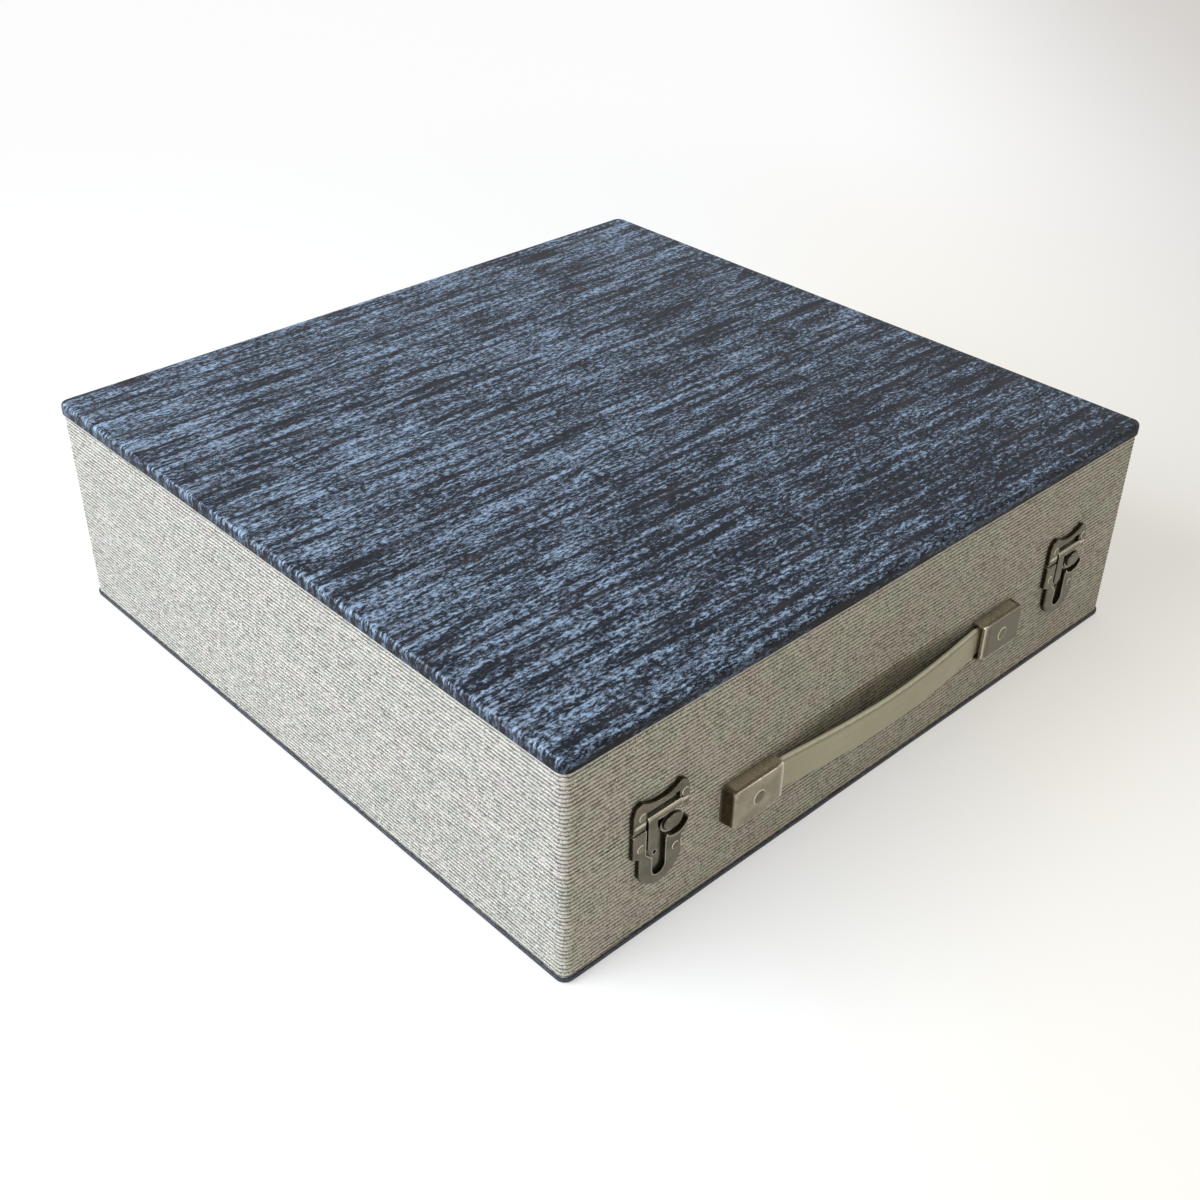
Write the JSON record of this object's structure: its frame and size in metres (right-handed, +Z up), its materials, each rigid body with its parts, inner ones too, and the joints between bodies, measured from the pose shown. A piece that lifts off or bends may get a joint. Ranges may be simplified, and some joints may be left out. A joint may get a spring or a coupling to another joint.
{
  "type": "record carrying case",
  "caption": "Square box case for records, with a hinged lid, hasp latches on the front and a flat strap handle that pulls out between riveted metal caps.",
  "frame": {"origin": "centre of the underside, where the closed case lies on a table", "axes": "+X to the right along the latch side, -Y out of the latch side, +Z up through the lid"},
  "size_m": [0.345, 0.3472, 0.1025],
  "materials": {
    "board": "bare plywood, hidden under the coverings",
    "ribbed_cloth": "worn ribbed woven cloth, grey and taupe",
    "mottled_paper": "mottled dark navy and steel blue, worn pale at the edges",
    "charcoal_paper": "plain dark charcoal, slightly rough",
    "lining_paper": "matte, aged",
    "lip_card": "matte card strip",
    "hinge_steel": "dull nickel plate",
    "latch_nickel": "tarnished nickel plate",
    "cap_nickel": "satin nickel plate, worn",
    "rivet_steel": "dull nickel plate",
    "strap_vinyl": "cream, soiled along the edges",
    "spring_steel": "bare spring steel"
  },
  "bodies": {
    "case_base": {"base_panel": "board", "base_wall_frame": "board", "base_side_covering": "ribbed_cloth", "base_bottom_covering": "charcoal_paper", "base_lining": "lining_paper", "base_locating_lip": "lip_card", "base_hinge_rivets": "rivet_steel", "base_latch_rivets": "rivet_steel", "left_hinge_base_leaf": "hinge_steel", "right_hinge_base_leaf": "hinge_steel", "left_hinge_pin": "hinge_steel", "right_hinge_pin": "hinge_steel", "left_latch_lower_plate": "latch_nickel", "right_latch_lower_plate": "latch_nickel", "left_handle_cap": "cap_nickel", "right_handle_cap": "cap_nickel", "handle_rivets": "rivet_steel", "handle_washers": "rivet_steel"},
    "lid": {"lid_panel": "board", "lid_wall_frame": "board", "lid_side_covering": "ribbed_cloth", "lid_top_covering": "mottled_paper", "lid_lining": "lining_paper", "lid_hinge_rivets": "rivet_steel", "lid_latch_rivets": "rivet_steel", "left_hinge_lid_leaf": "hinge_steel", "right_hinge_lid_leaf": "hinge_steel", "left_latch_upper_plate": "latch_nickel", "right_latch_upper_plate": "latch_nickel", "left_latch_pin": "latch_nickel", "right_latch_pin": "latch_nickel"},
    "left_hasp": {"left_latch_hasp": "latch_nickel"},
    "right_hasp": {"right_latch_hasp": "latch_nickel"},
    "grip": {"handle_grip": "strap_vinyl", "handle_spring_core": "spring_steel"},
    "left_strap": {"left_strap_link": "strap_vinyl"},
    "right_strap": {"right_strap_link": "strap_vinyl"},
    "left_tongue": {"left_strap_tongue": "spring_steel"},
    "right_tongue": {"right_strap_tongue": "spring_steel"}
  },
  "joints": [
    {"name": "lid_hinge", "type": "hinge", "parent": "case_base", "child": "lid", "pos_m": [0, 0.1695, 0.05185], "axis": [-1, 0, 0], "range_deg": [0, 180]},
    {"name": "left_hasp_pivot", "type": "hinge", "parent": "lid", "child": "left_hasp", "pos_m": [-0.128, -0.1683, 0.05665], "axis": [-1, 0, 0], "range_deg": [0, 100]},
    {"name": "right_hasp_pivot", "type": "hinge", "parent": "lid", "child": "right_hasp", "pos_m": [0.124, -0.1683, 0.05665], "axis": [-1, 0, 0], "range_deg": [0, 100]},
    {"name": "handle_lift", "type": "slide", "parent": "case_base", "child": "grip", "axis": [0, -1, 0], "range_m": [0, 0.014], "stiffness_N_per_m": 150},
    {"name": "left_strap_flex", "type": "hinge", "parent": "grip", "child": "left_strap", "pos_m": [-0.028, -0.1731, 0.03865], "axis": [0, 0, -1], "range_deg": [0, 23.4]},
    {"name": "right_strap_flex", "type": "hinge", "parent": "grip", "child": "right_strap", "pos_m": [0.02, -0.1731, 0.03865], "axis": [0, 0, 1], "range_deg": [0, 23.4]},
    {"name": "left_tongue_flex", "type": "hinge", "parent": "left_strap", "child": "left_tongue", "pos_m": [-0.064, -0.1695, 0.03865], "axis": [0, 0, 1], "range_deg": [0, 23.4]},
    {"name": "right_tongue_flex", "type": "hinge", "parent": "right_strap", "child": "right_tongue", "pos_m": [0.056, -0.1695, 0.03865], "axis": [0, 0, -1], "range_deg": [0, 23.4]}
  ],
  "couplings": [
    {"joint": "left_strap_flex", "follows": "handle_lift", "rad_per_m": 29.169},
    {"joint": "right_strap_flex", "follows": "handle_lift", "rad_per_m": 29.169},
    {"joint": "left_tongue_flex", "follows": "handle_lift", "rad_per_m": 29.169},
    {"joint": "right_tongue_flex", "follows": "handle_lift", "rad_per_m": 29.169}
  ]
}
